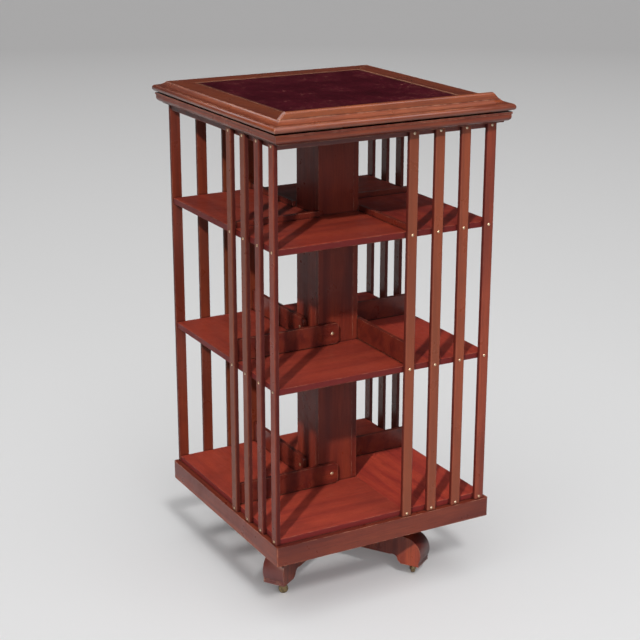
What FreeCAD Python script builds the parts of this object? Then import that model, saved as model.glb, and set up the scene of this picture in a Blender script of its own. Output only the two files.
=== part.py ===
import FreeCAD, Part
import math
import os
from FreeCAD import Vector

# Revolving bookcase of three open tiers on a cross base with castors.
# Millimetres. The spin axis is Z, the floor is z = 0, and the front of the case faces -Y.
# The case is a pinwheel: each side is the front turned by a quarter turn about Z.

# Square case: half widths from the spin axis, boards and column
shelf_half = 257.0
shelf_thickness = 13.5
column_half = 50.0
panel_thickness = 12.0
bottom_tier_height = 324.5
middle_tier_height = 283.5
upper_tier_height = 201.5

# Plinth frame under the bottom board
plinth_clearance = 6.0
plinth_height = 44.0
plinth_ledge = 3.5
plinth_rail_thickness = 22.0
plinth_corner_radius = 4.0
bearer_width = 34.0
bearer_height = 24.0

# Upright slats, four on the right of each side as seen from outside
slat_width = 24.0
slat_thickness = 9.5
slat_count = 4
slat_overhang = 2.5
slat_bevel = 2.0
screw_radius = 3.1
screw_rise = 1.5
screw_slot_width = 0.8
screw_slot_depth = 0.9
screw_slot_turn = 40.0
screw_above_plinth = 6.0

# Book dividers along the lines from the column to the first slat
divider_thickness = 10.0
divider_height = 47.0
divider_gap = 2.0
divider_end_radius = 9.0
divider_end_setback = 3.5
divider_screw_inset = 16.0
divider_screw_radius = 4.0
strip_height = 13.0
strip_column_gap = 2.0

# Cornice under the top; the front and back members of cornice and top stand further out
front_overhang = 14.0
cornice_height = 22.5
cornice_fillet_height = 3.0
cornice_fillet_step = 2.0
cornice_ovolo_radius = 9.0
cornice_lip_step = 1.5
cornice_lip_height = 4.0
cornice_bearing = 44.0

# Hinged top with its moulded edge, leather panel and book ledge
shadow_gap = 4.2
bearer_frame_gap = 3.0
bearer_frame_width = 20.0
top_overhang = 5.0
top_thickness = 21.8
top_moulding_width = 24.0
top_band_width = 48.5
top_arris_height = 1.2
bullnose_height = 13.0
bullnose_undercut = 3.0
bullnose_setback = 5.0
quirk_width = 1.8
quirk_depth = 1.5
cove_sag = 1.6
leather_thickness = 2.0
leather_recess = 0.7
ledge_height = 14.0
ledge_thickness = 12.0
ledge_setback = 2.0
ledge_end_cant = 14.0
ledge_round = 4.0

# Hinges in the shadow gap along the front of the top
hinge_axis_setback = 10.0
hinge_barrel_radius = 1.9
hinge_leaf_thickness = 1.0
hinge_leaf_depth = 22.0
hinge_length = 60.0
hinge_spacing = 320.0
knuckle_gap = 0.3
hinge_pin_radius = 1.0

# Folding prop under the top
strut_reach = 240.0
strut_drop = 8.7
strut_length = 165.0
strut_width = 18.0
strut_thickness = 6.0
strut_eye_radius = 5.0
strut_pin_radius = 2.0
strut_ear_thickness = 4.0
strut_side_gap = 0.5
strut_turns_per_tilt = -2.7
top_tilt_angle = 35.0
rack_width = 30.0
rack_height = 4.5
rack_length = 170.0
rack_stop_length = 14.0
rack_notch_count = 6
rack_notch_depth = 2.0
foot_clearance = 0.8

# Cross base
arm_angle = -57.0
arm_width = 52.0
arm_top = 142.0
arm_underside = 50.0
arm_flat_reach = 150.0
arm_dip = 9.0
foot_reach = 255.5
foot_bottom = 32.0
foot_bulge_radius = 40.0
foot_bulge_level = 60.0
foot_lip_height = 11.0
foot_lip_setback = 4.0
foot_lip_groove = 1.2
toe_length = 52.0
toe_chamfer = 3.0
toe_run = 6.0
toe_rise = 9.0
toe_sag = 1.5
instep_run = 18.0
instep_sag = 4.0

# Spindle and its bearings
spindle_radius = 12.0
running_clearance = 0.05
spindle_tip_below_deck = 62.0
spindle_flange_radius = 42.0
spindle_flange_thickness = 4.0
pivot_block_height = 40.0
pivot_roof = 10.0
guide_block_height = 30.0
thrust_gap = 0.1

# Castors
castor_stem_inset = 28.5
castor_plate_radius = 14.0
castor_plate_thickness = 2.0
castor_stem_radius = 4.0
castor_stem_height = 20.0
castor_stem_end_gap = 1.0
castor_crown_radius = 8.0
castor_crown_thickness = 2.4
castor_crown_gap = 0.3
castor_wheel_radius = 10.8
castor_wheel_width = 9.0
castor_wheel_edge = 2.0
castor_axle_radius = 2.0
castor_trail = 9.0
castor_cheek_thickness = 1.8
castor_cheek_radius = 4.0
castor_side_gap = 0.6
castor_rest_angles = [65.0, 120.0, 200.0, -20.0]

# How far a cutting shape passes the faces that it cuts through
cut_margin = 1.0

# Levels and planes that follow from the sizes above
plinth_bottom = arm_top + plinth_clearance
plinth_top = plinth_bottom + plinth_height
board_top = plinth_top + shelf_thickness
middle_bottom = board_top + bottom_tier_height
middle_top = middle_bottom + shelf_thickness
upper_bottom = middle_top + middle_tier_height
upper_top = upper_bottom + shelf_thickness
deck_bottom = upper_top + upper_tier_height
deck_top = deck_bottom + shelf_thickness
cornice_top = deck_top + cornice_height
top_bottom = cornice_top + shadow_gap
top_face = top_bottom + top_thickness
leather_face = top_face - leather_recess
slat_face = shelf_half + slat_thickness
plinth_half = slat_face + plinth_ledge
cornice_half = slat_face + cornice_fillet_step + cornice_ovolo_radius + cornice_lip_step
cornice_inner_half = slat_face - cornice_bearing
top_half = cornice_half + top_overhang
top_arris_half = top_half - top_moulding_width
leather_half = top_arris_half - top_band_width
leather_depth_half = leather_half + front_overhang
hinge_y = -(top_half + front_overhang - hinge_axis_setback)
hinge_leaf_y = hinge_y + hinge_barrel_radius + knuckle_gap
bearer_frame_half = -(hinge_leaf_y + hinge_leaf_depth + bearer_frame_gap) - front_overhang
hinge_z = cornice_top + shadow_gap / 2
strut_y = hinge_y + strut_reach
strut_z = top_bottom - strut_drop
spindle_tip = deck_bottom - spindle_tip_below_deck
first_slat = column_half + divider_thickness / 2
last_slat = shelf_half + slat_overhang - slat_width / 2
slat_pitch = (last_slat - first_slat) / (slat_count - 1)

side_names = ["front", "right", "back", "left"]
nodes = {}


def box(x0, x1, y0, y1, z0, z1):
    return Part.makeBox(x1 - x0, y1 - y0, z1 - z0, Vector(x0, y0, z0))


def rod(radius, length, base, direction=Vector(0, 0, 1)):
    return Part.makeCylinder(radius, length, base, direction)


def turned(shape, degrees, centre=Vector(0, 0, 0)):
    copy = shape.copy()
    copy.rotate(centre, Vector(0, 0, 1), degrees)
    return copy


def four_sides(shape):
    return [turned(shape, 90 * side) for side in range(4)]


def outline(start, steps, place):
    """Closed face from 2-D steps: a point is a line, a pair of points is an arc."""
    edges = []
    here = place(*start)
    for step in steps + [start]:
        if isinstance(step[0], tuple):
            middle, end = place(*step[0]), place(*step[1])
            edges.append(Part.Arc(here, middle, end).toShape())
            here = end
        elif (place(*step) - here).Length > 1e-6:
            edges.append(Part.LineSegment(here, place(*step)).toShape())
            here = place(*step)
    return Part.Face(Part.Wire(edges))


def arc_middle(start, end, sag):
    """Point on the arc from start to end that lies sag to the left of the chord."""
    dx, dy = end[0] - start[0], end[1] - start[1]
    length = math.hypot(dx, dy)
    return ((start[0] + end[0]) / 2 - dy / length * sag, (start[1] + end[1]) / 2 + dx / length * sag)


def on_circle(centre, radius, degrees):
    """Point of a circle in the outline's own plane."""
    angle = math.radians(degrees)
    return (centre[0] + radius * math.cos(angle), centre[1] + radius * math.sin(angle))


def mitred_member(start, steps, outward, sideways):
    """Front member of a mitred frame; profile points are (distance from the axis, height).

    The member stands outward from its profile, and its two mitres stand sideways from the middle.
    """
    reach = 2 * top_half
    face = outline(start, steps, lambda out, z: Vector(-reach, -out - outward, z))
    member = face.extrude(Vector(2 * reach, 0, 0))
    far = -outward - reach
    corners = [(-sideways - reach, far), (sideways + reach, far), (sideways, -outward)]
    wedge = outline((-sideways, -outward), corners, lambda x, y: Vector(x, y, 0))
    return member.common(wedge.extrude(Vector(0, 0, 2 * top_face)))


def mitred_frame(start, steps, extra=0.0):
    """Front, right, back and left members; the front and back ones stand further out by extra."""
    long_member = mitred_member(start, steps, extra, 0.0)
    short_member = mitred_member(start, steps, 0.0, extra)
    return [turned(member, 90 * side) for side, member in enumerate([long_member, short_member] * 2)]


def screw_head(x, y, z, radius, slot_angle):
    """Round slotted screw head on the front, a cap of a sphere standing on its flat face."""
    ball = (radius ** 2 + screw_rise ** 2) / (2 * screw_rise)
    cap_angle = math.degrees(math.asin((ball - screw_rise) / ball))
    out = Vector(0, -1, 0)
    cap = Part.makeSphere(ball, Vector(x, y + ball - screw_rise, z), out, cap_angle, 90, 360)
    slot_y = y - screw_rise + screw_slot_depth
    half_width = screw_slot_width / 2
    slot = box(-radius, radius, slot_y - 2 * screw_slot_depth, slot_y, -half_width, half_width)
    slot.rotate(Vector(0, 0, 0), out, slot_angle)
    slot.translate(Vector(x, 0, z))
    return cap.cut(slot)


def one_solid(shape):
    return shape.Solids[0] if len(shape.Solids) == 1 else shape


def add_node(name, shapes):
    nodes[name] = one_solid(shapes[0]) if len(shapes) == 1 else Part.makeCompound(shapes)


def pinwheel_boards(z0):
    """Four boards round the column, each butting the side of the next."""
    front = box(-shelf_half, column_half, -shelf_half, -column_half, z0, z0 + shelf_thickness)
    return four_sides(front)


def add_shelves():
    add_node("bottom_board", pinwheel_boards(plinth_top))
    add_node("middle_shelf", pinwheel_boards(middle_bottom))
    add_node("upper_shelf", pinwheel_boards(upper_bottom))
    add_node("top_deck", [box(-shelf_half, shelf_half, -shelf_half, shelf_half, deck_bottom, deck_top)])


def add_column():
    inner = column_half - panel_thickness
    panel = box(-column_half, inner, -column_half, -inner, plinth_top, deck_bottom)
    for side, shape in zip(side_names, four_sides(panel)):
        add_node("column_panel_" + side, [shape])
    bore = spindle_radius + running_clearance
    pivot_z = spindle_tip + thrust_gap
    block = box(-inner, inner, -inner, inner, pivot_z + pivot_roof - pivot_block_height, pivot_z + pivot_roof)
    socket = rod(bore, pivot_block_height, Vector(0, 0, pivot_z - pivot_block_height))
    add_node("pivot_block", [block.cut(socket)])
    guide = box(-inner, inner, -inner, inner, plinth_top, plinth_top + guide_block_height)
    through = rod(bore, guide_block_height + 2 * cut_margin, Vector(0, 0, plinth_top - cut_margin))
    add_node("guide_block", [guide.cut(through)])


def add_plinth():
    inner = plinth_half - plinth_rail_thickness
    steps = [(plinth_half, plinth_bottom), (plinth_half, plinth_top), (inner, plinth_top)]
    frame = mitred_frame((inner, plinth_bottom), steps)
    rounding = box(-plinth_half, plinth_half, -plinth_half, plinth_half, plinth_bottom, plinth_top)
    upright = [edge for edge in rounding.Edges if abs(edge.tangentAt(0).z) > 0.9]
    rounding = rounding.makeFillet(plinth_corner_radius, upright)
    for side, rail in zip(side_names, frame):
        add_node("plinth_rail_" + side, [rail.common(rounding)])
    bearers = []
    for y in (-column_half - bearer_width / 2, column_half + bearer_width / 2):
        low, high = y - bearer_width / 2, y + bearer_width / 2
        bearers.append(box(-inner, inner, low, high, plinth_top - bearer_height, plinth_top))
    add_node("plinth_bearers", bearers)


def slat(x):
    """Upright slat on the front, with bevelled outer edges."""
    half = slat_width / 2
    points = [(-half, 0), (-half, -slat_thickness + slat_bevel), (-half + slat_bevel, -slat_thickness),
              (half - slat_bevel, -slat_thickness), (half, -slat_thickness + slat_bevel), (half, 0)]
    face = outline(points[0], points[1:], lambda a, b: Vector(x + a, -shelf_half + b, plinth_top))
    return face.extrude(Vector(0, 0, deck_top - plinth_top))


def slat_centres():
    return [first_slat + slat_pitch * index for index in range(slat_count)]


def add_slats():
    heads = []
    half_board = shelf_thickness / 2
    levels = [plinth_top + screw_above_plinth, middle_bottom + half_board, upper_bottom + half_board,
              deck_bottom + half_board]
    for index, x in enumerate(slat_centres()):
        for side, shape in zip(side_names, four_sides(slat(x))):
            add_node("slat_%s_%d" % (side, index + 1), [shape])
        for row, z in enumerate(levels):
            slot_angle = screw_slot_turn * (index + row)
            heads += four_sides(screw_head(x, -slat_face, z, screw_radius, slot_angle))
    add_node("slat_screws", heads)


def divider(z0):
    """Front divider: from the left side's first slat to near the middle of the column's front."""
    z1 = z0 + divider_height
    end = -divider_end_setback
    r = divider_end_radius
    lower_middle = on_circle((end - r, z0 + r), r, -45)
    upper_middle = on_circle((end - r, z1 - r), r, 45)
    steps = [(end - r, z0), (lower_middle, (end, z0 + r)), (end, z1 - r), (upper_middle, (end - r, z1)),
             (-shelf_half, z1)]
    y = -column_half - divider_thickness
    face = outline((-shelf_half, z0), steps, lambda x, z: Vector(x, y, z))
    return face.extrude(Vector(0, divider_thickness, 0))


def add_dividers():
    y = -column_half - divider_thickness
    heads = []
    for name, shelf_top, count in (("middle", middle_top, 4), ("bottom", board_top, 3)):
        z0 = shelf_top + divider_gap
        rails = four_sides(divider(z0))
        x = -divider_end_setback - divider_screw_inset
        head = screw_head(x, y, z0 + divider_height / 2, divider_screw_radius, screw_slot_turn)
        screws = four_sides(head)
        # The bottom tier has no divider on the front's right-hand line.
        kept = [side for side in range(4) if count == 4 or side != 1]
        add_node("dividers_" + name, [rails[side] for side in kept])
        heads += [screws[side] for side in kept]
    add_node("divider_screws", heads)
    strip_end = -column_half - strip_column_gap
    strip = box(-shelf_half, strip_end, y, -column_half, upper_top, upper_top + strip_height)
    add_node("divider_strips", four_sides(strip))


def add_cornice():
    fillet_half = slat_face + cornice_fillet_step
    fillet_z = deck_top + cornice_fillet_height
    round_centre = (fillet_half, fillet_z + cornice_ovolo_radius)
    round_middle = on_circle(round_centre, cornice_ovolo_radius, -45)
    round_end = on_circle(round_centre, cornice_ovolo_radius, 0)
    lip_z = cornice_top - cornice_lip_height
    steps = [(slat_face, deck_top), (slat_face, fillet_z), (fillet_half, fillet_z), (round_middle, round_end),
             (round_end[0], lip_z), (cornice_half, lip_z), (cornice_half, cornice_top),
             (cornice_inner_half, cornice_top)]
    add_node("cornice", mitred_frame((cornice_inner_half, deck_top), steps, front_overhang))
    inner = bearer_frame_half - bearer_frame_width
    steps = [(bearer_frame_half, cornice_top), (bearer_frame_half, top_bottom), (inner, top_bottom)]
    add_node("bearer_frame", mitred_frame((inner, cornice_top), steps, front_overhang))


def add_top():
    nose_face = top_half - bullnose_undercut
    nose_top = (top_half - bullnose_setback, top_bottom + bullnose_height)
    nose_widest = (top_half, top_bottom + bullnose_height / 2)
    quirk_floor = nose_top[1] - quirk_depth
    cove_start = (nose_top[0] - quirk_width, nose_top[1])
    cove_end = (top_arris_half, top_face - top_arris_height)
    steps = [(nose_face, top_bottom), (nose_widest, nose_top), (nose_top[0], quirk_floor),
             (cove_start[0], quirk_floor), cove_start, (arc_middle(cove_start, cove_end, cove_sag), cove_end),
             (top_arris_half, top_face), (leather_half, top_face)]
    add_node("top_frame", mitred_frame((leather_half, top_bottom), steps, front_overhang))
    half, depth = leather_half, leather_depth_half
    panel_top = leather_face - leather_thickness
    add_node("top_core", [box(-half, half, -depth, depth, top_bottom, panel_top)])
    add_node("leather_panel", [box(-half, half, -depth, depth, panel_top, leather_face)])
    add_node("book_ledge", [ledge()])


def ledge():
    """Raised strip along the front of the top that keeps a book from sliding off."""
    end = top_arris_half - ledge_setback
    y = -(end + front_overhang)
    z1 = top_face + ledge_height
    steps = [(end, top_face), (end - ledge_end_cant, z1), (-end + ledge_end_cant, z1)]
    face = outline((-end, top_face), steps, lambda x, z: Vector(x, y, z))
    strip = face.extrude(Vector(0, ledge_thickness, 0))
    long_edges = [edge for edge in strip.Edges if edge.Length > end and edge.CenterOfMass.z > top_face + 1]
    return strip.makeFillet(ledge_round, long_edges)


def barrel(x, length):
    return rod(hinge_barrel_radius, length, Vector(x, hinge_y, hinge_z), Vector(1, 0, 0))


def hinge_halves(x):
    """Fixed and moving half of one butt hinge, centred at x."""
    third = hinge_length / 3
    leaf_y0 = hinge_leaf_y
    leaf_y1 = leaf_y0 + hinge_leaf_depth
    x0, x1 = x - hinge_length / 2, x + hinge_length / 2
    thickness = hinge_leaf_thickness
    fixed = box(x0, x1, leaf_y0, leaf_y1, cornice_top, cornice_top + thickness)
    moving = box(x0, x1, leaf_y0, leaf_y1, top_bottom - thickness, top_bottom)
    middle0, middle1 = x0 + third, x1 - third
    fixed = fixed.fuse(box(middle0, middle1, hinge_y, leaf_y0, cornice_top, cornice_top + thickness))
    fixed = fixed.fuse(barrel(middle0, third))
    pin_start = Vector(x0, hinge_y, hinge_z)
    pin = rod(hinge_pin_radius, hinge_length, pin_start, Vector(1, 0, 0))
    fixed = fixed.fuse(pin).removeSplitter()
    bore = rod(hinge_pin_radius + running_clearance, hinge_length, pin_start, Vector(1, 0, 0))
    for start, end in ((x0, middle0 - knuckle_gap), (middle1 + knuckle_gap, x1)):
        moving = moving.fuse(box(start, end, hinge_y, leaf_y0, top_bottom - thickness, top_bottom))
        moving = moving.fuse(barrel(start, end - start))
    moving = moving.removeSplitter().cut(bore)
    return fixed, moving


def add_hinges():
    fixed, moving = [], []
    for x in (-hinge_spacing / 2, hinge_spacing / 2):
        fixed_half, moving_half = hinge_halves(x)
        fixed.append(fixed_half)
        moving.append(moving_half)
    add_node("hinge_leaves_fixed", fixed)
    add_node("hinge_leaves_moving", moving)


def add_strut():
    half = strut_width / 2
    bar_half = strut_thickness / 2
    foot_y = strut_y + strut_length
    bar = box(-half, half, strut_y, foot_y, strut_z - bar_half, strut_z + bar_half)
    eye = rod(strut_eye_radius, strut_width, Vector(-half, strut_y, strut_z), Vector(1, 0, 0))
    foot = rod(bar_half, strut_width, Vector(-half, foot_y, strut_z), Vector(1, 0, 0))
    strut = bar.fuse(eye).fuse(foot).removeSplitter()
    bore_radius = strut_pin_radius + running_clearance
    bore_start = Vector(-half - cut_margin, strut_y, strut_z)
    bore = rod(bore_radius, strut_width + 2 * cut_margin, bore_start, Vector(1, 0, 0))
    add_node("strut", [strut.cut(bore)])
    ears = []
    inner = half + strut_side_gap
    outer = inner + strut_ear_thickness
    for x0, x1 in ((-outer, -inner), (inner, outer)):
        ears.append(box(x0, x1, strut_y - strut_eye_radius, strut_y + strut_eye_radius,
                        strut_z - strut_eye_radius, top_bottom))
    pin = rod(strut_pin_radius, 2 * outer, Vector(-outer, strut_y, strut_z), Vector(1, 0, 0))
    add_node("strut_bracket", [ears[0].fuse(pin).fuse(ears[1])])


def strut_foot(tilt_degrees):
    """Height and depth of the strut's foot centre when the top is raised by the tilt."""
    tilt = math.radians(tilt_degrees)
    dy, dz = strut_y - hinge_y, strut_z - hinge_z
    lean = tilt * (1 + strut_turns_per_tilt)
    y = hinge_y + dy * math.cos(tilt) - dz * math.sin(tilt) + strut_length * math.cos(lean)
    z = hinge_z + dy * math.sin(tilt) + dz * math.cos(tilt) + strut_length * math.sin(lean)
    return y, z


def add_rack():
    stop_y, stop_z = strut_foot(top_tilt_angle)
    y0 = stop_y - rack_stop_length / 2
    half = rack_width / 2
    rack = box(-half, half, y0, y0 + rack_length, deck_top, deck_top + rack_height)
    stop_top = stop_z - strut_thickness / 2 - foot_clearance
    rack = rack.fuse(box(-half, half, y0, y0 + rack_stop_length, deck_top, stop_top)).removeSplitter()
    pitch = (rack_length - rack_stop_length) / (rack_notch_count + 1)
    for index in range(rack_notch_count):
        y = y0 + rack_stop_length + pitch * (index + 1)
        z = deck_top + rack_height
        notch = [(y, z - rack_notch_depth), (y + rack_notch_depth, z + cut_margin),
                 (y - 2 * rack_notch_depth, z + cut_margin)]
        cutter = outline(notch[0], notch[1:], lambda a, b: Vector(-half - cut_margin, a, b))
        rack = rack.cut(cutter.extrude(Vector(rack_width + 2 * cut_margin, 0, 0)))
    add_node("strut_rack", [rack])


def foot_steps():
    """Outline of the foot's end, from the top of its bulge down the grooved lip to the underside."""
    centre = (foot_reach - foot_bulge_radius, foot_bulge_level)
    lip_top = foot_bottom + foot_lip_height
    lip_middle = foot_bottom + foot_lip_height / 2
    end_angle = -math.degrees(math.asin((foot_bulge_level - lip_top) / foot_bulge_radius))
    bulge_middle = on_circle(centre, foot_bulge_radius, (90 + end_angle) / 2)
    bulge_end = on_circle(centre, foot_bulge_radius, end_angle)
    face = foot_reach - foot_lip_setback
    groove = foot_lip_groove
    return [(bulge_middle, bulge_end), (face - groove, lip_top), (face, lip_top - groove),
            (face, lip_middle + groove), (face - groove, lip_middle), (face, lip_middle - groove),
            (face, foot_bottom)]


def toe_steps():
    """Outline of the foot's underside and the instep, up to the underside of the arm."""
    back = foot_reach - toe_length
    corner = (back, foot_bottom + toe_chamfer)
    instep = (back - toe_run, corner[1] + toe_rise)
    scroll_end = (instep[0] - instep_run, arm_underside)
    return [(back + toe_chamfer, foot_bottom), corner, (arc_middle(corner, instep, toe_sag), instep),
            (arc_middle(instep, scroll_end, -instep_sag), scroll_end)]


def arm_outline():
    """Outline of one arm from the spin axis out to its scrolled foot and back, as steps."""
    shoulder = (foot_reach - foot_bulge_radius, foot_bulge_level + foot_bulge_radius)
    dip_middle = arc_middle((arm_flat_reach, arm_top), shoulder, -arm_dip)
    start = [(arm_flat_reach, arm_top), (dip_middle, shoulder)]
    return start + foot_steps() + toe_steps() + [(0, arm_underside)]


def full_arm():
    face = outline((0, arm_top), arm_outline(), lambda r, z: Vector(r, -arm_width / 2, z))
    half = face.extrude(Vector(0, arm_width, 0))
    return half.fuse(turned(half, 180)).removeSplitter()


def stem_places():
    reach = foot_reach - castor_stem_inset
    places = []
    for index in range(4):
        angle = math.radians(arm_angle + 90 * index)
        places.append(Vector(reach * math.cos(angle), reach * math.sin(angle), 0))
    return places


def add_base():
    arm = full_arm()
    reach = foot_reach - castor_stem_inset
    socket_radius = castor_stem_radius + running_clearance
    socket_length = cut_margin + castor_stem_height + castor_stem_end_gap
    for x in (-reach, reach):
        arm = arm.cut(rod(socket_radius, socket_length, Vector(x, 0, foot_bottom - cut_margin)))
    middle = (arm_top + arm_underside) / 2
    half = arm_width / 2
    upper_half = box(-half, half, -half, half, middle, arm_top)
    lower_half = box(-half, half, -half, half, arm_underside, middle)
    add_node("base_arm_a", [turned(arm.cut(upper_half), arm_angle)])
    add_node("base_arm_b", [turned(arm.cut(lower_half), arm_angle + 90)])
    flange = rod(spindle_flange_radius, spindle_flange_thickness, Vector(0, 0, arm_top))
    post = rod(spindle_radius, spindle_tip - arm_top, Vector(0, 0, arm_top))
    add_node("spindle", [flange.fuse(post).removeSplitter()])
    plates = []
    for place in stem_places():
        base = place + Vector(0, 0, foot_bottom - castor_plate_thickness)
        plate = rod(castor_plate_radius, castor_plate_thickness, base)
        hole_length = castor_plate_thickness + 2 * cut_margin
        plates.append(plate.cut(rod(socket_radius, hole_length, base - Vector(0, 0, cut_margin))))
    add_node("castor_plates", plates)


def castor(place, angle):
    """Fork and wheel of one castor, trailing from the stem in the given direction."""
    crown_top = foot_bottom - castor_plate_thickness - castor_crown_gap
    crown_bottom = crown_top - castor_crown_thickness
    stem_top = foot_bottom + castor_stem_height
    fork = rod(castor_crown_radius, castor_crown_thickness, Vector(0, 0, crown_bottom))
    fork = fork.fuse(rod(castor_stem_radius, stem_top - crown_bottom, Vector(0, 0, crown_bottom)))
    inner = castor_wheel_width / 2 + castor_side_gap
    outer = inner + castor_cheek_thickness
    axle = Vector(castor_trail, 0, castor_wheel_radius)
    r = castor_cheek_radius
    back = -castor_crown_radius / 2
    front = castor_trail + r
    for y0 in (-outer, inner):
        fork = fork.fuse(box(back, front, y0, y0 + castor_cheek_thickness, crown_bottom, crown_top))
        points = [(back, crown_top), (front, crown_top), (front, axle.z), (castor_trail - r, axle.z),
                  (back, crown_bottom)]
        cheek = outline(points[0], points[1:], lambda x, z: Vector(x, y0, z))
        cheek = cheek.extrude(Vector(0, castor_cheek_thickness, 0))
        boss = rod(r, castor_cheek_thickness, Vector(castor_trail, y0, axle.z), Vector(0, 1, 0))
        fork = fork.fuse(cheek).fuse(boss)
    bridge = box(back, -back, -outer, outer, crown_bottom, crown_top)
    pin = rod(castor_axle_radius, 2 * outer, axle - Vector(0, outer, 0), Vector(0, 1, 0))
    fork = fork.fuse(bridge).fuse(pin).removeSplitter()
    half_width = castor_wheel_width / 2
    wheel = rod(castor_wheel_radius, castor_wheel_width, axle - Vector(0, half_width, 0), Vector(0, 1, 0))
    wheel = wheel.makeFillet(castor_wheel_edge, [edge for edge in wheel.Edges if len(edge.Vertexes) == 1])
    bore_radius = castor_axle_radius + running_clearance
    bore_start = axle - Vector(0, half_width + cut_margin, 0)
    bore = rod(bore_radius, castor_wheel_width + 2 * cut_margin, bore_start, Vector(0, 1, 0))
    wheel = wheel.cut(bore)
    placed = []
    for shape in (fork, wheel):
        shape = turned(shape, angle)
        shape.translate(place)
        placed.append(shape)
    return placed


def add_castors():
    for index, (place, angle) in enumerate(zip(stem_places(), castor_rest_angles)):
        fork, wheel = castor(place, angle)
        add_node("castor_fork_%d" % (index + 1), [fork])
        add_node("castor_wheel_%d" % (index + 1), [wheel])


add_base()
add_castors()
add_plinth()
add_shelves()
add_column()
add_slats()
add_dividers()
add_cornice()
add_top()
add_hinges()
add_strut()
add_rack()

os.makedirs("parts", exist_ok=True)
for name, shape in nodes.items():
    if not shape.isValid():
        print("invalid shape:", name)
    shape.exportStep("parts/%s.step" % name)
print(len(nodes), "nodes, top face at", top_face, "hinge", hinge_y, hinge_z, "strut", strut_y, strut_z)
print("castor axles:", [(round(p.x, 3), round(p.y, 3)) for p in stem_places()])
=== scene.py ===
import math
import bpy
from mathutils import Euler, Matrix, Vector


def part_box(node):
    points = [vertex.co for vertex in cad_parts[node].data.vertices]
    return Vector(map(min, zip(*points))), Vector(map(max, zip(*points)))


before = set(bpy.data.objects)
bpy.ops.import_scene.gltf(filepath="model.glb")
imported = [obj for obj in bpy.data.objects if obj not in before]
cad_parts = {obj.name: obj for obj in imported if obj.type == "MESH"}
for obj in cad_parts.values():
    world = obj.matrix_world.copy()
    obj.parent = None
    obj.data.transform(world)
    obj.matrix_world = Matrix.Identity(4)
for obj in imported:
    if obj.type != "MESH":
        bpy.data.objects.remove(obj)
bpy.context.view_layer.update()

SIDES = ["front", "right", "back", "left"]
SLATS_PER_SIDE = 4
AXIS_X = (1.0, 0.0, 0.0)
AXIS_Y = (0.0, 1.0, 0.0)
AXIS_Z = (0.0, 0.0, 1.0)

# How light the mahogany of the slats is on each side, and of the board of each tier, where painted shade
# also makes the higher boards darker
SLAT_TONES = {"front": 1.05, "right": 0.9, "back": 0.82, "left": 0.78}
BOARD_TONES_AND_SHADE = {"bottom_board": 1.65, "middle_shelf": 1.35, "upper_shelf": 1.2}
# Axis that the narrow edges of each side's slats face
SLAT_EDGES = {"front": AXIS_X, "right": AXIS_Y, "back": AXIS_X, "left": AXIS_Y}
# Degrees that the first arm of the base is turned from the x axis
ARM_TURN = -57.0

# Camera that matches the photograph's view
IMAGE_SIZE = 640
CAMERA_PLACE = (-1.5895, -2.8355, 1.6340)
CAMERA_YAW = 29.034
CAMERA_PITCH = 17.806
CAMERA_ROLL = 0.09
FOCAL_PIXELS = 1509.2
CENTRE_PIXEL = (321.0, 316.4)
SENSOR_WIDTH = 36.0

# Floor: its width, its colour near and far with the distances between which it fades, the darker far
# floor being painted shade in place of the light's fall-off, and how much brighter the camera sees it than
# the light on it makes it
FLOOR_SIZE = 60.0
FLOOR_NEAR = (0.72, 0.72, 0.72)
FLOOR_FAR = (0.41, 0.405, 0.405)
FLOOR_FADE = (0.6, 9.0)
FLOOR_LIFT = 0.17

# Colours of the lights, of rubbed wood that also stands as a painted highlight on the edges, and of the
# dirt and painted shade in the wood's corners
WARM = (1.0, 0.88, 0.74)
COOL = (0.94, 0.95, 1.0)
RUBBED_WOOD_AND_HIGHLIGHT = (0.52, 0.26, 0.17)
DIRT_AND_SHADE = (0.018, 0.006, 0.006)

# Leather: its darkest and lightest colour, its scuffs, and the middle and half width of its tooled line
# and of its worn rim, measured in from its edge
LEATHER_DARK = (0.025, 0.0018, 0.0045)
LEATHER_LIGHT = (0.048, 0.0036, 0.0088)
LEATHER_SCUFF = (0.24, 0.10, 0.08)
TOOLED_LINE = (0.0058, 0.0009)
WORN_RIM = (0.0012, 0.0012)

# Edges softened on the CAD solids
EDGE_ROUNDING = 0.0009
WELD_DISTANCE = 0.00001
SHARP_ANGLE = 30.0

COLUMN_HALF = -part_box("column_panel_front")[0][0]
leather_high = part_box("leather_panel")[1]
LEATHER_HALF_X = leather_high[0]
LEATHER_HALF_Y = leather_high[1]
top_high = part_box("top_frame")[1]
# How much further the frames with mitred corners reach to the front than to the sides
FRONT_REACH = top_high[1] - top_high[0]


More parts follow.
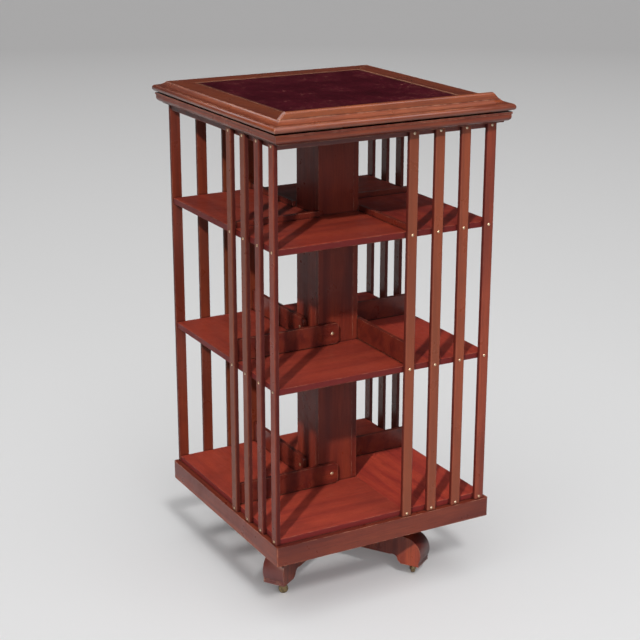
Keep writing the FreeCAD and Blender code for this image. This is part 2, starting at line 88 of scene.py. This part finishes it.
class Graph:
    """A material's node tree with short ways to add nodes."""

    def __init__(self, name):
        self.material = bpy.data.materials.new(name)
        self.material.use_nodes = True
        self.tree = self.material.node_tree
        self.shader = self.tree.nodes["Principled BSDF"]

    def node(self, kind, inputs=None, **settings):
        made = self.tree.nodes.new("ShaderNode" + kind)
        for key, value in settings.items():
            setattr(made, key, value)
        for key, value in (inputs or {}).items():
            self.feed(made.inputs[key], value)
        return made

    def feed(self, socket, value):
        if isinstance(value, bpy.types.NodeSocket):
            self.tree.links.new(value, socket)
        else:
            socket.default_value = value

    def math(self, operation, a, b=0.0, clamp=False):
        made = self.node("Math", operation=operation, use_clamp=clamp)
        self.feed(made.inputs[0], a)
        self.feed(made.inputs[1], b)
        return made.outputs[0]

    def noise(self, vector, scale=1.0, detail=2.0, rough=0.5, distortion=0.0):
        inputs = {"Vector": vector, "Scale": scale, "Detail": detail, "Roughness": rough,
                  "Distortion": distortion}
        return self.node("TexNoise", inputs).outputs["Fac"]

    def spread(self, value, low, high, out_low=0.0, out_high=1.0):
        inputs = {"Value": value, "From Min": low, "From Max": high, "To Min": out_low, "To Max": out_high}
        return self.node("MapRange", inputs).outputs["Result"]

    def mix(self, factor, a, b):
        made = self.node("Mix", data_type="RGBA")
        self.feed(made.inputs[0], factor)
        self.feed(made.inputs[6], a)
        self.feed(made.inputs[7], b)
        return made.outputs[2]

    def mix_value(self, factor, a, b):
        made = self.node("Mix", data_type="FLOAT")
        self.feed(made.inputs[0], factor)
        self.feed(made.inputs[2], a)
        self.feed(made.inputs[3], b)
        return made.outputs[0]

    def vector(self, x, y, z):
        return self.node("CombineXYZ", {"X": x, "Y": y, "Z": z}).outputs[0]

    def dot(self, a, b):
        made = self.node("VectorMath", operation="DOT_PRODUCT")
        self.feed(made.inputs[0], a)
        self.feed(made.inputs[1], b)
        return made.outputs["Value"]

    def bump(self, height, distance, strength):
        inputs = {"Height": height, "Distance": distance, "Strength": strength}
        return self.node("Bump", inputs).outputs["Normal"]

    def coords(self):
        return self.node("TexCoord").outputs["Object"]

    def place(self):
        split = self.node("SeparateXYZ", {"Vector": self.coords()}).outputs
        return split[0], split[1], split[2]

    def near(self, value, middle, half_width):
        """Mask of the values that lie within the half width of the middle."""
        off = self.math("ABSOLUTE", self.math("SUBTRACT", value, middle))
        return self.math("LESS_THAN", off, half_width)

    def edges(self, radius):
        """Mask that rises towards the sharp edges within the radius."""
        soft = self.node("Bevel", {"Radius": radius}, samples=4).outputs["Normal"]
        flat = self.node("NewGeometry").outputs["Normal"]
        return self.spread(self.dot(soft, flat), 0.995, 0.80)

    def crevice(self, reach):
        """Mask that rises in the corners and gaps narrower than the reach, where dirt and painted shade
        go.
        """
        open_sky = self.node("AmbientOcclusion", {"Distance": reach}, samples=8).outputs["AO"]
        return self.spread(open_sky, 0.80, 0.35)


def rgba(r, g, b):
    return (r, g, b, 1.0)


def grain_axes(graph, grain):
    """Coordinates along and across the grain, and a number that differs from board to board.

    The grain runs along x, y or z, along the four lengths of a mitred frame, or along the four
    boards that lie round the column as a pinwheel.
    """
    x, y, z = graph.place()
    if grain == "z":
        return z, x, y, 0.0
    if grain == "x":
        return x, y, z, 0.0
    if grain == "y":
        return y, x, z, 0.0
    if grain == "mitre":
        depth = graph.math("SUBTRACT", graph.math("ABSOLUTE", y), FRONT_REACH)
        turned = graph.math("GREATER_THAN", graph.math("ABSOLUTE", x), depth)
    else:
        right = graph.math("MULTIPLY", graph.math("GREATER_THAN", x, COLUMN_HALF),
                           graph.math("LESS_THAN", y, COLUMN_HALF))
        left = graph.math("MULTIPLY", graph.math("LESS_THAN", x, -COLUMN_HALF),
                          graph.math("GREATER_THAN", y, -COLUMN_HALF))
        turned = graph.math("ADD", right, left, clamp=True)
    along = graph.mix_value(turned, x, y)
    across = graph.mix_value(turned, y, x)
    far = graph.math("GREATER_THAN", across, 0.0)
    board = graph.math("ADD", turned, graph.math("MULTIPLY", far, 2.0))
    return along, across, z, board


def mahogany(name, grain, tone=1.0, gloss=0.30, figure=1.0, brown=1.0, vary=0.15, wear_and_highlight=0.55,
             polish=0.35, dark_axis=None, dark_from=0.6, dark_to=0.85, dark_share=0.85,
             dark_shine=0.15):
    """French polished mahogany with ribbon figure, fibres, pores, darker blotches, rubbed edges that
    also carry a painted highlight, and dirt with painted shade in its crevices.

    tone lightens it, gloss is its roughness, figure the strength of its ribbons, wear_and_highlight that
    of its rubbed edges and their painted highlight, and polish that of its clear coat. brown turns its
    crimson towards brown, and vary turns some boards browner. Faces grow darker as their turn towards
    dark_axis, 0 for square to it and 1 for along it, goes from dark_from to dark_to, and there they
    shine as dark_shine says.
    """
    graph = Graph(name)
    along, across, third, board = grain_axes(graph, grain)
    own = graph.node("ObjectInfo").outputs["Random"]
    shift = graph.math("ADD", graph.math("MULTIPLY", own, 17.0), graph.math("MULTIPLY", board, 3.7))
    along = graph.math("ADD", along, shift)

    def stretched(along_scale, across_scale):
        return graph.vector(graph.math("MULTIPLY", along, along_scale),
                            graph.math("MULTIPLY", graph.math("ADD", across, shift), across_scale),
                            graph.math("MULTIPLY", third, across_scale))

    ribbon = graph.noise(stretched(2.2, 34.0), detail=3.0, rough=0.55, distortion=0.5)
    fibre = graph.noise(stretched(16.0, 520.0), detail=3.0, rough=0.6)
    pores = graph.noise(stretched(120.0, 1700.0), detail=1.0)
    coords = graph.coords()
    blotch = graph.noise(coords, scale=7.0, detail=3.0, rough=0.6)

    dark = rgba(0.070 * tone, 0.0085 * tone * brown, 0.0095 * tone)
    middle = rgba(0.195 * tone, 0.0225 * tone * brown, 0.0165 * tone)
    light = rgba(0.29 * tone, 0.044 * tone * brown, 0.023 * tone)
    colour = graph.mix(graph.spread(ribbon, 0.36, 0.66, 0.0, min(figure, 1.0)), middle, light)
    shade = graph.math("MULTIPLY", graph.spread(ribbon, 0.52, 0.30), 0.55 * figure)
    colour = graph.mix(shade, colour, dark)
    colour = graph.mix(graph.spread(fibre, 0.45, 0.70, 0.0, 0.50), colour, dark)
    colour = graph.mix(graph.spread(pores, 0.60, 0.68, 0.0, 0.45), colour, dark)
    colour = graph.mix(graph.spread(blotch, 0.48, 0.72, 0.0, 0.45), colour, dark)
    board_tone = graph.math("FRACT", graph.math("MULTIPLY", shift, 0.731))
    colour = graph.mix(graph.math("MULTIPLY", board_tone, 0.30), colour, dark)
    board_brown = graph.math("FRACT", graph.math("MULTIPLY", shift, 1.377))
    brownish = rgba(0.175 * tone, 0.052 * tone, 0.022 * tone)
    colour = graph.mix(graph.math("MULTIPLY", board_brown, vary), colour, brownish)
    rub_and_highlight = graph.noise(coords, scale=60.0, detail=3.0)
    if dark_axis:
        facing = graph.dot(graph.node("TexCoord").outputs["Normal"], dark_axis)
        turn = graph.math("ABSOLUTE", facing)
        colour = graph.mix(graph.spread(turn, dark_from, dark_to, 0.0, dark_share), colour, dark)
    # Pale rubbed edges, painted brighter also as a highlight along them
    worn = graph.math("MULTIPLY", graph.edges(0.0018), graph.spread(rub_and_highlight, 0.42, 0.60, 0.0, wear_and_highlight))
    colour = graph.mix(worn, colour, rgba(*RUBBED_WOOD_AND_HIGHLIGHT))
    # Darkens the corners and gaps: dirt, and painted shade where the light can't reach
    dirt_and_shade = graph.math("MULTIPLY", graph.crevice(0.007), 0.85)
    colour = graph.mix(dirt_and_shade, colour, rgba(*DIRT_AND_SHADE))
    sockets = graph.shader.inputs
    graph.feed(sockets["Base Color"], colour)

    rough = graph.noise(coords, scale=22.0, detail=4.0, rough=0.65)
    graph.feed(sockets["Roughness"], graph.spread(rough, 0.3, 0.7, gloss - 0.06, gloss + 0.16))
    specular = 0.2 + 0.8 * polish
    if dark_axis:
        graph.feed(sockets["Coat Weight"], graph.spread(turn, dark_from, dark_to, polish, 0.0))
        shine = graph.spread(turn, dark_from, dark_to, specular, dark_shine)
        graph.feed(sockets["Specular IOR Level"], shine)
    else:
        sockets["Coat Weight"].default_value = polish
        sockets["Specular IOR Level"].default_value = specular
    sockets["Coat Roughness"].default_value = 0.16
    waves = graph.noise(stretched(9.0, 90.0), detail=2.0)
    height = graph.math("ADD", waves, graph.math("MULTIPLY", fibre, 0.25))
    graph.feed(sockets["Normal"], graph.bump(height, 0.00035, 0.5))
    return graph.material


def leather(name):
    """Dark red hide with fine grain, scuffs, worn rims and a tooled line near its edge."""
    graph = Graph(name)
    coords = graph.coords()
    x, y = graph.place()[:2]
    cells = graph.node("TexVoronoi", {"Vector": coords, "Scale": 900.0}, feature="DISTANCE_TO_EDGE")
    crease = graph.spread(cells.outputs["Distance"], 0.0, 0.25)
    mottle = graph.noise(coords, scale=9.0, detail=4.0, rough=0.65)
    scuff = graph.noise(coords, scale=110.0, detail=5.0, rough=0.75)
    colour = graph.mix(graph.spread(mottle, 0.35, 0.68), rgba(*LEATHER_DARK), rgba(*LEATHER_LIGHT))
    scuffed = graph.math("MULTIPLY", graph.spread(scuff, 0.56, 0.66), graph.spread(mottle, 0.46, 0.60))
    colour = graph.mix(graph.math("MULTIPLY", scuffed, 0.55), colour, rgba(*LEATHER_SCUFF))
    inset = graph.math("MINIMUM", graph.math("SUBTRACT", LEATHER_HALF_X, graph.math("ABSOLUTE", x)),
                       graph.math("SUBTRACT", LEATHER_HALF_Y, graph.math("ABSOLUTE", y)))
    line = graph.near(inset, *TOOLED_LINE)
    rim = graph.near(inset, *WORN_RIM)
    colour = graph.mix(graph.math("MULTIPLY", line, 0.45), colour, rgba(0.26, 0.13, 0.07))
    colour = graph.mix(graph.math("MULTIPLY", rim, 0.60), colour, rgba(0.45, 0.26, 0.17))
    graph.feed(graph.shader.inputs["Base Color"], colour)
    graph.feed(graph.shader.inputs["Roughness"], graph.spread(scuff, 0.3, 0.7, 0.42, 0.62))
    graph.shader.inputs["Specular IOR Level"].default_value = 0.04
    height = graph.math("SUBTRACT", crease, graph.math("MULTIPLY", line, 1.5))
    graph.feed(graph.shader.inputs["Normal"], graph.bump(height, 0.00018, 0.6))
    return graph.material


def metal(name, bright, tarnish, gloss, patches=40.0):
    """Worn metal with darker tarnish in patches and fine grit. gloss is its roughness where bright."""
    graph = Graph(name)
    coords = graph.coords()
    patch = graph.noise(coords, scale=patches, detail=5.0, rough=0.7)
    grit = graph.noise(coords, scale=900.0, detail=2.0)
    factor = graph.spread(patch, 0.38, 0.64)
    graph.feed(graph.shader.inputs["Base Color"], graph.mix(factor, rgba(*bright), rgba(*tarnish)))
    graph.shader.inputs["Metallic"].default_value = 1.0
    graph.feed(graph.shader.inputs["Roughness"], graph.mix_value(factor, gloss, gloss + 0.28))
    graph.feed(graph.shader.inputs["Normal"], graph.bump(grit, 0.00008, 0.5))
    return graph.material


def soften(obj):
    """Rounds the sharp edges of a CAD solid a little, as planed and polished wood has them."""
    weld = obj.modifiers.new("weld", "WELD")
    weld.merge_threshold = WELD_DISTANCE
    bevel = obj.modifiers.new("rounding", "BEVEL")
    bevel.width = EDGE_ROUNDING
    bevel.segments = 2
    bevel.limit_method = "ANGLE"
    bevel.angle_limit = math.radians(SHARP_ANGLE)
    bevel.use_clamp_overlap = True


def dress(node, material, rounded=False):
    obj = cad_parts[node]
    obj.data.materials.clear()
    obj.data.materials.append(material)
    if rounded:
        soften(obj)


def dress_case():
    for side in SIDES:
        slats = mahogany("mahogany_slats_" + side, "z", tone=SLAT_TONES[side], brown=1.15, vary=0.7,
                         polish=0.1, dark_axis=SLAT_EDGES[side])
        for index in range(SLATS_PER_SIDE):
            dress("slat_%s_%d" % (side, index + 1), slats, rounded=True)
    column = mahogany("mahogany_column", "z", tone=0.88, figure=1.3, polish=0.1)
    for side in SIDES:
        dress("column_panel_" + side, column, rounded=True)
    # Each board's tone, with painted shade that darkens the upper tiers
    for node, tone in BOARD_TONES_AND_SHADE.items():
        boards = mahogany("mahogany_" + node, "pinwheel", tone=tone, gloss=0.34, figure=0.6,
                          polish=0.08, dark_axis=AXIS_Z, dark_from=0.9, dark_to=0.6)
        dress(node, boards, rounded=True)
    along_x = mahogany("mahogany_along_x", "x", tone=0.70, wear_and_highlight=0.95, brown=1.2, polish=0.15)
    along_y = mahogany("mahogany_along_y", "y", tone=0.9, wear_and_highlight=0.9, brown=1.4, polish=0.15)
    for side in SIDES:
        dress("plinth_rail_" + side, along_x if side in ("front", "back") else along_y, rounded=True)
    # Its faces that look straight up are painted darker, as shade on the flat band, and lose their coat
    framed = mahogany("mahogany_top_frame", "mitre", brown=1.7, wear_and_highlight=0.95, polish=0.4,
                      dark_axis=AXIS_Z, dark_from=0.97, dark_to=0.995, dark_share=0.62)
    dress("top_frame", framed, rounded=True)
    cornice = mahogany("mahogany_cornice", "mitre", tone=0.72, brown=1.4, wear_and_highlight=0.8, polish=0.2)
    dress("cornice", cornice, rounded=True)
    dividers = mahogany("mahogany_dividers", "mitre", tone=0.66, polish=0.2)
    for node in ("divider_strips", "dividers_middle", "dividers_bottom"):
        dress(node, dividers, rounded=True)
    dress("book_ledge", mahogany("mahogany_ledge", "x", brown=1.7, wear_and_highlight=0.9), rounded=True)
    dull = mahogany("mahogany_inner", "x", tone=0.6, gloss=0.5)
    for node in ("top_deck", "top_core", "bearer_frame", "plinth_bearers", "pivot_block", "guide_block",
                 "strut_rack", "strut_bracket", "strut"):
        dress(node, dull, rounded=True)


def dress_base():
    for node, turn in (("base_arm_a", ARM_TURN), ("base_arm_b", ARM_TURN + 90.0)):
        ends = (math.cos(math.radians(turn)), math.sin(math.radians(turn)), 0.0)
        arm = mahogany("mahogany_" + node, "z", tone=1.0, brown=1.2, wear_and_highlight=0.95, polish=0.2,
                       dark_axis=ends, dark_from=0.2, dark_to=0.5, dark_shine=0.9)
        dress(node, arm, rounded=True)
    dress("spindle", metal("turned_steel", (0.42, 0.42, 0.43), (0.20, 0.19, 0.18), 0.35))


def dress_metal():
    screws = metal("screw_brass", (0.86, 0.74, 0.56), (0.52, 0.38, 0.24), 0.30, patches=120.0)
    castors = metal("castor_brass", (0.50, 0.38, 0.20), (0.10, 0.075, 0.050), 0.26, patches=200.0)
    bronzed = metal("bronzed_brass", (0.10, 0.065, 0.040), (0.04, 0.028, 0.020), 0.42, patches=90.0)
    for node in ("slat_screws", "divider_screws"):
        dress(node, screws)
    for node in ("hinge_leaves_fixed", "hinge_leaves_moving"):
        dress(node, bronzed)
    dress("castor_plates", castors)
    for number in range(1, 5):
        dress("castor_fork_%d" % number, castors)
        dress("castor_wheel_%d" % number, castors)


def add_floor():
    bpy.ops.mesh.primitive_plane_add(size=FLOOR_SIZE, location=(0, 0, 0))
    floor = bpy.context.object
    floor.name = "studio_floor"
    graph = Graph("studio_floor")
    distance = graph.node("VectorMath", operation="LENGTH")
    graph.feed(distance.inputs[0], graph.coords())
    # The floor darkens with distance from the bookcase: painted shade in place of the light's fall-off
    fade = graph.spread(distance.outputs["Value"], *FLOOR_FADE)
    colour = graph.mix(fade, rgba(*FLOOR_NEAR), rgba(*FLOOR_FAR))
    graph.feed(graph.shader.inputs["Base Color"], colour)
    graph.shader.inputs["Roughness"].default_value = 0.9
    graph.shader.inputs["Specular IOR Level"].default_value = 0.1
    seen = graph.node("LightPath").outputs["Is Camera Ray"]
    graph.feed(graph.shader.inputs["Emission Color"], colour)
    graph.feed(graph.shader.inputs["Emission Strength"], graph.math("MULTIPLY", seen, FLOOR_LIFT))
    floor.data.materials.append(graph.material)
    return floor


def add_softbox(name, place, aim, size, power, colour):
    data = bpy.data.lights.new(name, "AREA")
    data.color = colour
    data.shape = "RECTANGLE"
    data.size, data.size_y = size
    data.energy = power
    lamp = bpy.data.objects.new(name, data)
    lamp.location = place
    direction = Vector(aim) - Vector(place)
    lamp.rotation_mode = "QUATERNION"
    lamp.rotation_quaternion = direction.to_track_quat("-Z", "Y")
    bpy.context.collection.objects.link(lamp)
    return lamp


def add_sun(name, azimuth, elevation, strength, softness, colour=(1.0, 1.0, 1.0)):
    """Parallel light from an azimuth, 0 for the front and 90 for the right, and an elevation."""
    data = bpy.data.lights.new(name, "SUN")
    data.energy = strength
    data.color = colour
    data.angle = math.radians(softness)
    lamp = bpy.data.objects.new(name, data)
    a, e = math.radians(azimuth), math.radians(elevation)
    towards = Vector((math.sin(a) * math.cos(e), -math.cos(a) * math.cos(e), math.sin(e)))
    lamp.rotation_mode = "QUATERNION"
    lamp.rotation_quaternion = (-towards).to_track_quat("-Z", "Y")
    bpy.context.collection.objects.link(lamp)
    return lamp


def collected(name, objects):
    group = bpy.data.collections.new(name)
    for obj in objects:
        group.objects.link(obj)
    return group


def add_world():
    world = bpy.data.worlds.new("studio")
    bpy.context.scene.world = world
    world.use_nodes = True
    background = world.node_tree.nodes["Background"]
    background.inputs["Color"].default_value = rgba(0.80, 0.80, 0.81)
    background.inputs["Strength"].default_value = 0.05


def add_lights(floor):
    """Soft light from above and in front, a warm key on the bookcase and two sheens on its mouldings.

    The photograph's floor shows no shadow of the case, only a soft one below the plinth. So the key
    and the sheens don't reach the floor, and the floor has a light that only the low pieces block.
    """
    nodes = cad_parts
    bookcase = collected("bookcase", nodes.values())
    low = [obj for name, obj in nodes.items() if name.startswith(("base_arm", "plinth", "castor"))]
    add_sun("overhead", -29.0, 72.0, 1.7, 70.0)
    key = add_sun("key", -48.0, 36.0, 3.2, 2.0, WARM)
    shade = add_sun("floor_shade", -15.0, 45.0, 1.1, 8.0)
    add_softbox("front_softbox", (-0.9, -3.6, 1.9), (0, 0, 0.6), (2.4, 1.6), 36.0, COOL)
    right = add_softbox("right_softbox", (1.9, -1.9, 3.3), (0, -0.28, 1.1), (2.0, 1.6), 32.0, COOL)
    back = add_softbox("back_softbox", (-1.2, 3.2, 3.4), (-0.28, 0, 1.1), (1.6, 1.2), 15.0, COOL)
    for lamp in (key, right, back):
        lamp.light_linking.receiver_collection = bookcase
    shade.light_linking.receiver_collection = collected("floor_only", [floor])
    shade.light_linking.blocker_collection = collected("low_pieces", low)


def add_camera():
    data = bpy.data.cameras.new("camera")
    data.sensor_width = SENSOR_WIDTH
    data.lens = FOCAL_PIXELS / IMAGE_SIZE * SENSOR_WIDTH
    data.shift_x = (IMAGE_SIZE / 2 - CENTRE_PIXEL[0]) / IMAGE_SIZE
    data.shift_y = (CENTRE_PIXEL[1] - IMAGE_SIZE / 2) / IMAGE_SIZE
    camera = bpy.data.objects.new("camera", data)
    camera.location = CAMERA_PLACE
    yaw, pitch = math.radians(CAMERA_YAW), math.radians(CAMERA_PITCH)
    look = Euler((math.pi / 2 - pitch, 0, -yaw), "XYZ").to_quaternion()
    roll = Euler((0, 0, math.radians(CAMERA_ROLL)), "XYZ").to_quaternion()
    camera.rotation_mode = "QUATERNION"
    camera.rotation_quaternion = look @ roll
    bpy.context.collection.objects.link(camera)
    bpy.context.scene.camera = camera


dress_case()
dress_base()
dress_metal()
dress("leather_panel", leather("burgundy_leather"))
add_world()
add_lights(add_floor())
add_camera()
bpy.context.scene.view_settings.view_transform = "Standard"
